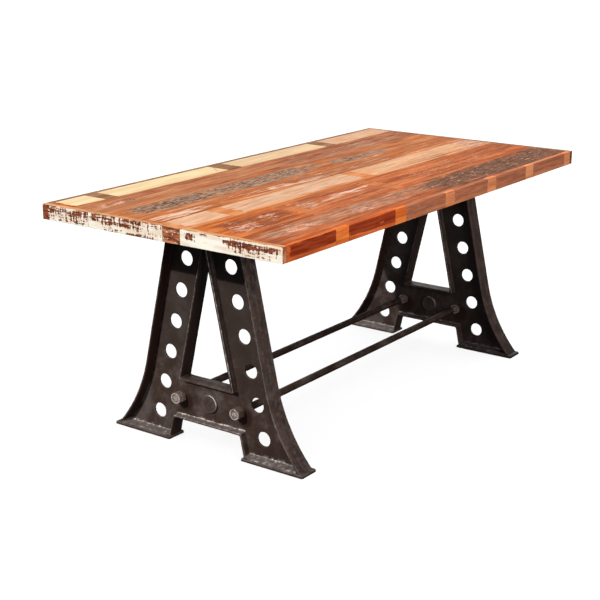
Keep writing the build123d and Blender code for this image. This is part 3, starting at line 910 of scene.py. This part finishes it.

# %% [markdown]
# ## One casting
# The outer wall runs from rim to rim over the parting line, where the two halves of the mould
# met and left a thin ridge. The pocket wall goes down to the web on each side. In the feet it
# ends in a sloping ledge. The window has a flange of its own. Marks of wear go with the points:
# rims and ledges are rubbed bright, while the web keeps its dark skin. The same marks carry
# painted light: painted shade on faces turned level or down, a painted shadow below each end
# nut, a painted sheen along the web's flanges and a painted highlight on the bosses' upper rims.

# %% Cast one A-frame
edge_radius = 0.0018
web_fillet = 0.004
ledge_rim, ledge_web = 0.010, 0.016

rise = edge_radius * (1 - np.cos(rounding))
run = edge_radius * np.sin(rounding)
web_run = web + web_fillet - web_fillet * np.sin(rounding)
side_steps = np.array([0.0, 0.0012, 0.010, 0.018])
side_extra = np.concatenate([[0.0] * 4, rise])
side_worn = np.array([0.40, 0.28, 0.22, 0.27, 0.36, 0.50, 0.55, 0.35])
pocket_steps = np.array([0.020, 0.013])
pocket_extra = np.concatenate([-rise[::-1], [0.0] * 2, web_fillet * (1 - np.cos(rounding))])
pocket_worn = np.array([0.35, 0.55, 0.5, 0.3, 0.1, 0.1, 0.05, 0.0, 0.0, 0.0])
flange_worn = np.array([0.40, 0.86, 0.76, 0.45, 0.1, 0.3, 0.2, 0.1, 0.1, 0.0])
shelf_worn = np.array([0.15, 0.15, 0.2, 0.4, 0.5, 0.5, 0.6, 0.7, 0.85, 0.8])


def side_loops(kind, edge):
    """The outlines of the outer wall or of the window and their depths, from the parting line
    to a rim. The iron narrows outwards by the flange's draft."""
    depths = np.concatenate([side_steps, edge - edge_radius + run])
    offsets = depths * flange_draft - (depths == 0) * 0.0004
    loops = [outline(kind, offset + extra, cap=extra, sole=extra)
             for offset, extra in zip(offsets, side_extra)]
    counts = parts_for(loops[0], 0.012)
    loops = [subdivided(loop, counts) for loop in loops]
    rims = rim_of(loops[0], 0.0) if kind == "outer" else np.full(len(loops[0]), edge)
    return loops, [depth + (rims - edge) * (number > 3) for number, depth in enumerate(depths)]


def pocket_loops(kind, edge):
    """The outlines of the pocket's outer side or of the window's flange and their depths, from
    a rim down to the web. The flanges are 7 mm thick at the rim and thicken with the draft, and
    the ledge climbs from the rim to the web."""
    depths = np.concatenate([(edge - edge_radius + run)[::-1], pocket_steps, web_run])
    loops = []
    for depth, extra in zip(depths, pocket_extra):
        flange = 0.007 + (rim - depth) * pocket_draft + extra
        ledge = ledge_rim + (ledge_web - ledge_rim) * (rim - depth) / (rim - web) + extra
        loops.append(outline(kind, flange, cap=flange, sole=ledge))
    counts = parts_for(loops[0], 0.012)
    loops = [subdivided(loop, counts) for loop in loops]
    rims = rim_of(loops[0], 0.007) if kind == "pocket" else np.full(len(loops[0]), edge)
    return loops, [depth + (rims - edge) * (number < 4) for number, depth in enumerate(depths)]


first_hole, last_hole = underside - 0.116, 0.075
hole_heights = np.linspace(first_hole, last_hole, 6)
leg_middle = (outer_side(first_hole, 0) + inner_side(first_hole, 0)) / 2
hole_offsets = leg_middle + math.tan(lean + math.radians(0.5)) * (first_hole - hole_heights)
rod_height = (bar_low + bar_high) / 2
rod_offset = 0.117
holes = [(sign * y, z, 0.02375) for sign in (-1, 1) for y, z in zip(hole_offsets, hole_heights)]
holes += [(-rod_offset, rod_height, 0.0125), (rod_offset, rod_height, 0.0125)]
hole_rounding = 0.0012

boss_rings = [(0.0330, web), (0.0312, web + 0.0005), (0.0302, web + 0.0020), (0.0300, web + 0.0050),
              (0.0294, web + 0.0064), (0.0280, web + 0.0070), (0.0255, web + 0.0070),
              (0.0248, web + 0.0066), (0.0240, web + 0.0060), (0.0100, web + 0.0059)]
boss_worn = np.array([0, 0, 0, 0.2, 0.9, 0.9, 0.5, 0.9, 0.1, 0])

half = []
outer, outer_depths = side_loops("outer", rim)
window, window_depths = side_loops("window", inner_rim)
pocket, pocket_depths = pocket_loops("pocket", rim)
flange, flange_depths = pocket_loops("window", inner_rim)
half.append(wall(outer, outer_depths, side_worn, painted_shade=0.9, hollow=False))
half.append(wall(window, window_depths, side_worn * 0.5, painted_shade=0.8))
half.append(wall(pocket, pocket_depths, pocket_worn, shelf_worn, painted_shade=0.8))
half.append(wall(flange, flange_depths, flange_worn, painted_shade=0.35, hollow=False))
rim_depths = np.concatenate([outer_depths[-1], pocket_depths[0]])
half.append(flat(rim_depths, [outer[-1], pocket[0]], np.zeros((0, 2)), 0.28))
half.append(flat(inner_rim, [flange[0], window[-1]], np.zeros((0, 2)), 0.28))
hole_loops = []
for y, z, radius in holes:
    radii = radius + hole_rounding * (1 - np.cos(rounding[::-1]))
    depths = web - hole_rounding * (1 - np.sin(rounding[::-1]))
    rings = [circle(y, z, r) for r in radii] + [circle(y, z, radius)]
    half.append(wall(rings, [*depths, 0.0], [0.0, 0.6, 0.5, 0.2, 0.1]))
    hole_loops.append(rings[0])
boss = [circle(0.0, rod_height, radius) for radius, depth in boss_rings]
boss_points, boss_faces, boss_marks = wall(boss, [depth for radius, depth in boss_rings], boss_worn)
# painted highlight: the boss's rim is marked brighter on its upper front side
painted_highlight_share = np.clip(-boss_points[:, 1] + boss_points[:, 2] - rod_height, 0, None) / 0.03
half.append((boss_points, boss_faces, boss_marks * (0.25 + 0.75 * np.minimum(painted_highlight_share, 1))))
half.append(flat(boss_rings[-1][1], [boss[-1]], np.array([[0.0, rod_height]]), 0.0))
hole_loops.append(boss[0])
net = np.meshgrid(np.arange(-0.36, 0.36, 0.009), np.arange(0.02, 0.71, 0.009))
net = np.stack(net, axis=-1).reshape(-1, 2)
net = net + 0.0015 * np.random.default_rng(7).uniform(-1, 1, net.shape)
net = net[inside(net, pocket[-1])]
net = net[clearance(net, pocket[-1]) > 0.004]
hole_loops.append(flange[-1])
for loop in hole_loops:
    net = net[~inside(net, loop)]
    net = net[clearance(net, loop) > 0.004]
web_points, web_faces, web_marks = flat(web, [pocket[-1], *hole_loops], net, 0.0)
gap = np.minimum(clearance(web_points[:, 1:], pocket[-1]), clearance(web_points[:, 1:], flange[-1]))
# painted sheen: the web is marked lighter along its flanges, higher than 16 cm
web_marks = web_marks + 0.3 * np.clip(1.5 - gap / 0.012, 0, 1) * (web_points[:, 2] > 0.16)
# painted shadow of each end nut on the web, below it and towards the front
for side in (-1, 1):
    away = web_points[:, 1:] - (side * rod_offset - 0.018, rod_height - 0.016)
    web_marks = np.minimum(web_marks, -0.8 * np.clip(1.7 - np.linalg.norm(away, axis=1) / 0.023, 0, 1))
half.append((web_points, web_faces, web_marks))
print("points in half a casting:", sum(len(points) for points, faces, marks in half))

# %% [markdown]
# ## The soles
# Each foot stands on a plate with a small rounded lip all round. It is the same idea as a board:
# a section carried round a rectangle. The plate is cast on, so its lip is as worn as the rims.
# Its side gets painted shade, darker towards the floor.

# %% Cast the soles


def sole_rings(side):
    """The plate as points, faces and marks of wear and painted shade, with its top and bottom closed."""
    inner, outer = inner_side(0, 0) - 0.004, foot_edge + 0.004
    half_y, half_x = (outer - inner) / 2, rim + 0.006
    section = [(0.0006, 0.0), (0.0, 0.0008), (0.0, 0.0048), (0.0007, 0.0068), (0.0022, 0.0082),
               (0.0045, 0.0090), (0.0110, 0.0094)]
    quarter = np.radians(np.linspace(0, 90, 6))
    signs = np.array([(1, 1), (-1, 1), (-1, -1), (1, -1)])
    angles = quarter[None] + np.radians([0, 90, 180, 270])[:, None]
    rows, counts = [], None
    for inset, height in section:
        radius = 0.0065 - inset * 0.5
        corner = signs * (half_x - inset - radius, half_y - inset - radius)
        ring = corner[:, None] + radius * np.stack([np.cos(angles), np.sin(angles)], axis=-1)
        ring = ring.reshape(-1, 2) + (0.0, side * (inner + outer) / 2)
        counts = parts_for(ring, 0.01) if counts is None else counts
        ring = subdivided(ring, counts)
        rows.append(np.column_stack([ring, np.full(len(ring), height)]))
    columns = len(rows[0])
    faces = grid_faces(len(rows), columns, wrap=True).tolist()
    faces += [list(range(columns)), list(range((len(rows) - 1) * columns, len(rows) * columns))]
    # painted shade: the plate's side is marked darker towards the floor; its lip is marked as worn
    worn = np.repeat([-0.6, -0.4, -0.2, 0.35, 0.5, 0.35, 0.3], columns)
    return np.vstack(rows), faces, worn


print("points in a sole:", len(sole_rings(1)[0]))

# %% [markdown]
# ## Pour the iron twice
# Half a casting and its mirror image meet at the parting line. Their seam is welded, the soles
# join them, and slow waves move the skin by a fraction of a millimetre, which is what makes
# light wander along an old casting.

# %% Join the halves and place both frames
frame_x = 0.676


def pour(name, shift, seed):
    """Joins the half casting, its mirror image and the soles, and moves them into place."""
    points, faces, worn, start = [], [], [], 0
    for side in (1, -1):
        for part_points, part_faces, part_worn in half:
            points.append(part_points * (side, 1, 1))
            faces += (np.asarray(part_faces) + start).tolist()
            worn.append(part_worn)
            start += len(part_points)
    for side in (1, -1):
        part_points, part_faces, part_worn = sole_rings(side)
        points.append(part_points)
        faces += [[number + start for number in face] for face in part_faces]
        worn.append(part_worn)
        start += len(part_points)
    points, worn = np.vstack(points), np.concatenate(worn)
    x, y, z = points.T
    free = np.clip((underside - z) / 0.01, 0, 1) * np.clip(z / 0.01, 0, 1)
    shove = np.stack([waves(seed + k, 0.02, 0.09, x, y, z) for k in range(3)], axis=1)
    points = points + shove * (0.00035 * free[:, None]) + (shift, 0, 0)
    return make_piece("dressed_" + name, points, faces, {"worn": worn}, [name], 1e-5)


castings = [pour("left_leg_frame", -frame_x, 11), pour("right_leg_frame", frame_x, 12)]
print("faces in each casting:", [len(casting.data.polygons) for casting in castings])

# %% [markdown]
# ## Black iron
# The castings were blacked and waxed. The skin is dark brown-black and slightly lumpy, with fine
# grit from the sand. Where hands, shoes and brooms rub, the black wears through to grey metal.
# The marks on the points say where that can happen, and noise decides how far it got. They
# also carry painted light: below zero they are painted shade, and in places above zero a
# painted sheen or highlight. Painted shade darkens the skin from the middle up, and a painted
# shadow makes it black close under the top.

# %% Finish the castings
painted_upper_shade, run_brown, dust_grey = tone(46, 39, 36), tone(74, 50, 41), tone(96, 89, 86)
bare_metal, dent_brown, painted_shade_brown = tone(184, 174, 168), tone(42, 29, 24), tone(34, 18, 12)
shadow_black = (0.002, 0.001, 0.001, 1)


def iron_finish(name, skin, rubbed, pitted=0.0, dust=0.85, shine=0.12):
    """Dark waxed iron, from the brown, middle and grey tones of its skin. Marks above zero, wear
    and in places a painted sheen, turn it dusty, and then, by a share, bare metal breaks through.
    Marks below zero are painted shade, in dark brown. The skin grows greyer towards the back.
    Painted shade darkens it from the middle up, and a painted shadow of the top makes it black
    close under the top. The share of dust is the one at the front, and at the back it is always
    the same."""
    recipe = Recipe(name)
    here = recipe.place((1, 1, 1))
    blotch = recipe.noise(here, 13.0, 5.0, 0.68)
    grit = recipe.noise(here, 420.0, 3.0, 0.6)
    lumps = recipe.noise(here, 90.0, 3.0, 0.5)
    scuffs = recipe.noise(here, 60.0, 5.0, 0.7)
    runs = recipe.noise(recipe.place((90.0, 90.0, 5.0)), 1.0, 3.0, 0.6)
    worn = recipe.painted("worn")
    place = recipe.node("SeparateXYZ", {"Vector": here}).outputs
    grey = recipe.maths("MULTIPLY_ADD", place["Y"], 0.12, blotch)
    colour = recipe.ramp(grey, (0.36, skin[0]), (0.50, skin[1]), (0.64, skin[2]))
    runs = recipe.maths("MULTIPLY", recipe.step(runs, 0.40, 0.62, 0.0, 0.75), recipe.step(worn, 0.08, 0.25))
    runs = recipe.maths("MULTIPLY", runs, recipe.step(place["Z"], 0.02, 0.06))
    # painted shade: the skin darkens from the middle up, and a painted shadow of the top turns it black
    # close under it
    colour = recipe.mix(recipe.step(place["Z"], 0.16, 0.40, 0.0, 0.6), colour, painted_upper_shade)
    colour = recipe.mix(recipe.step(place["Z"], 0.50, 0.60, 0.0, 0.6), colour, shadow_black)
    colour = recipe.mix(runs, colour, run_brown)
    dusty = recipe.maths("MULTIPLY_ADD", recipe.maths("SUBTRACT", scuffs, 0.5), 1.2, worn)
    share = recipe.step(place["Y"], 0.0, 0.12, dust, 0.85)
    share = recipe.maths("MULTIPLY", recipe.step(dusty, 0.10, 0.80), share)
    colour = recipe.mix(share, colour, dust_grey)
    amount = recipe.maths("MULTIPLY_ADD", worn, 0.55, scuffs)
    bare = recipe.step(amount, 0.88, 1.06, 0.0, rubbed)
    colour = recipe.mix(bare, colour, bare_metal)
    dents = recipe.step(recipe.noise(here, 210.0, 3.0, 0.6), 0.54, 0.66, 0.0, pitted)
    colour = recipe.mix(dents, colour, dent_brown)
    # painted shade: marks below zero turn the iron dark brown
    colour = recipe.mix(recipe.step(worn, 0.0, -0.6, 0.0, 0.9), colour, painted_shade_brown)
    roughness = recipe.step(blotch, 0.3, 0.7, 0.55, 0.40)
    relief = recipe.maths("MULTIPLY_ADD", lumps, 1.5, grit)
    metal = recipe.maths("MULTIPLY", bare, 0.25)
    return recipe.finish(colour, roughness, relief, 0.0005, Metallic=metal, Specular_IOR_Level=shine)


black_skin = tone(42, 30, 25), tone(53, 41, 36), tone(72, 63, 61)
# painted shade: a darker copy of the black skin, for the far frame and the back rod, which stand in shade
# under the top
shaded_skin = tone(35, 25, 21), tone(44, 33, 29), tone(62, 54, 52)
steel_skin = tone(78, 62, 54), tone(102, 86, 78), tone(136, 121, 114)
castings[0].data.materials.append(iron_finish("black_iron", black_skin, 0.8))
# painted shade: the far frame gets the darker skin, less rubbed metal and less dust on its front
castings[1].data.materials.append(iron_finish("shade_painted_iron", shaded_skin, 0.4, dust=0.3))
print("castings finished")

# %% [markdown]
# ## Nuts and tie rods
# A nut is a ring whose outer radius is the smaller of two shapes: a hexagon, and a cone that cuts
# its corners. Where they meet, the well-known arcs of a nut appear by themselves. A rod is a plain
# bar with a thread near each end: its radius dips along a helix, once in every pitch.

# %% Turn the nuts and the rods
rod_low, rod_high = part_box("front_tie_rod")
rod_radius = (rod_high[2] - rod_low[2]) / 2
rod_end = rod_high[0]
nuts_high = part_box("tie_rod_end_nuts")[1]
nut_flats = 2 * (nuts_high[1] - rod_offset)
nut_length = nuts_high[0] - frame_x - web
jam_nut_length = 0.012
thread_pitch, thread_depth, thread_length = 0.0025, 0.0011, 0.075
thread_run_out, end_chamfer, end_radius = 0.006, 0.0016, 0.004
rod_sides, bore_gap = 28, 0.00008


def hexagon(angle, flats):
    """Radius of a hexagon with a flat facing angle 0 and with slightly blunted corners."""
    off_flat = (angle + math.pi / 6) % (math.pi / 3) - math.pi / 6
    return np.minimum(flats / 2 / np.cos(off_flat), flats / math.sqrt(3) * 0.985)


def nut(seat, outward, y, length):
    """One nut as a closed ring from its seat outwards. Each step of its profile has a height, a
    radius and a mark of wear. A radius of one means the hexagon, cut by the cone of the chamfer,
    and the bore is countersunk at both ends."""
    angle = np.radians(np.arange(0, 360, 5))
    bore = rod_radius + bore_gap
    sides = np.concatenate([[0.0005, length * 0.4], length - np.linspace(0.0027, 0.0002, 9)])
    profile = [(0.0012, bore, 0.1), (0.0, bore + 0.0012, 0.1), (0.0, nut_flats * 0.47, 0.2)]
    profile += [(height, 1.0, 0.3) for height in sides]
    profile += [(length, nut_flats * 0.465, 1.0), (length, bore + 0.0026, 0.9),
                (length, bore + 0.0014, 0.9), (length - 0.0014, bore, 0.2), (0.0012, bore, 0.1)]
    heights, radii, marks = np.array(profile).T
    cone = nut_flats * 0.475 + (length - heights) / math.tan(math.radians(30))
    cut = np.minimum(hexagon(angle, nut_flats)[None], cone[:, None])
    shell = np.where(radii[:, None] == 1.0, cut, radii[:, None])
    x = seat + outward * heights[:, None] + 0 * shell
    points = np.stack([x, y + shell * np.cos(angle), rod_height + shell * np.sin(angle)], axis=-1)
    return points.reshape(-1, 3), grid_faces(*shell.shape, wrap=True), np.repeat(marks, len(angle))


def rod(y):
    """One tie rod. A thread is a dip along a helix: its depth follows the distance from the
    crest, counted in pitches, and fades out where the thread ends."""
    angle = np.arange(rod_sides) * 2 * math.pi / rod_sides
    thread = np.arange(0.0012, thread_length, thread_pitch / 6)
    half_way = np.concatenate([[0.0, 0.0], thread, [rod_end - 0.4, rod_end - 0.2]]) - rod_end
    stations = np.concatenate([half_way, [0.0], -half_way[::-1]])
    x, turn = np.meshgrid(stations, angle, indexing="ij")
    crest = (x / thread_pitch - turn / (2 * math.pi)) % 1.0
    fade = np.clip((thread_length - rod_end + np.abs(x)) / thread_run_out, 0, 1)
    radius = rod_radius - thread_depth * np.clip(np.abs(2 * crest - 1) * 1.3 - 0.15, 0, 1) * fade
    radius[[1, -2]] = rod_radius - end_chamfer
    radius[[0, -1]] = end_radius
    points = np.stack([x, y + radius * np.cos(turn), rod_height + radius * np.sin(turn)], axis=-1)
    faces = grid_faces(*radius.shape, wrap=True).tolist()
    faces += [list(range(rod_sides)), list(range(radius.size - rod_sides, radius.size))]
    worn = fade * 0.5 + (np.abs(x) > rod_end - 0.001) * 0.4
    # painted shade: away from the threads, the rod's underside is marked dark
    worn = worn - (1 - fade) * np.clip(0.2 - np.sin(turn) * 1.4, 0, 0.6)
    return points.reshape(-1, 3), faces, worn.ravel()


def gathered(parts):
    """Several closed shapes as one: their points, faces and marks, one after another."""
    points, faces, marks, start = [], [], [], 0
    for part_points, part_faces, part_marks in parts:
        points.append(part_points)
        faces += [[number + start for number in face] for face in part_faces]
        marks.append(part_marks)
        start += len(part_points)
    return np.vstack(points), faces, np.concatenate(marks)


fasteners = []
for name, length, outward in (("tie_rod_end_nuts", nut_length, 1), ("tie_rod_jam_nuts", jam_nut_length, -1)):
    seat = frame_x + outward * web
    four = [nut(end * seat, end * outward, side * rod_offset, length) for end in (-1, 1) for side in (-1, 1)]
    points, faces, worn = gathered(four)
    fasteners.append(make_piece("dressed_" + name, points, faces, {"worn": worn}, [name]))
rods = []
for name, side in (("front_tie_rod", -1), ("back_tie_rod", 1)):
    points, faces, worn = rod(side * rod_offset)
    rods.append(make_piece("dressed_" + name, points, faces, {"worn": worn}, [name]))
fasteners[0].data.materials.append(iron_finish("worn_steel", steel_skin, 1.0, 0.8))
fasteners[1].data.materials.append(iron_finish("dull_steel", black_skin, 0.4, 0.8, shine=0.05))
rods[0].data.materials.append(iron_finish("brown_steel", black_skin, 0.5, shine=0.03))
# painted shade: the back rod gets the darker skin and less dust
rods[1].data.materials.append(iron_finish("black_steel", shaded_skin, 0.3, dust=0.5, shine=0.02))
nodes["frame_lag_screws"].data.materials.clear()
nodes["frame_lag_screws"].data.materials.append(iron_finish("screw_iron", black_skin, 0.5))
print("faces in the nuts and rods:", [len(piece.data.polygons) for piece in fasteners + rods])

# %% [markdown]
# ## Measure and finish
# Both boxes are set side by side, as the change of each side of the dressed table against its pack.
# The dressed table may not grow out of its pack.

# %% Compare the boxes and end
dressed_low, dressed_high = [list(corner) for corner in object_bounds()]
growth = [round((b - a) * 1000, 2) for a, b in zip(packed_low + packed_high, dressed_low + dressed_high)]
print("change of each side in millimetres:", growth)
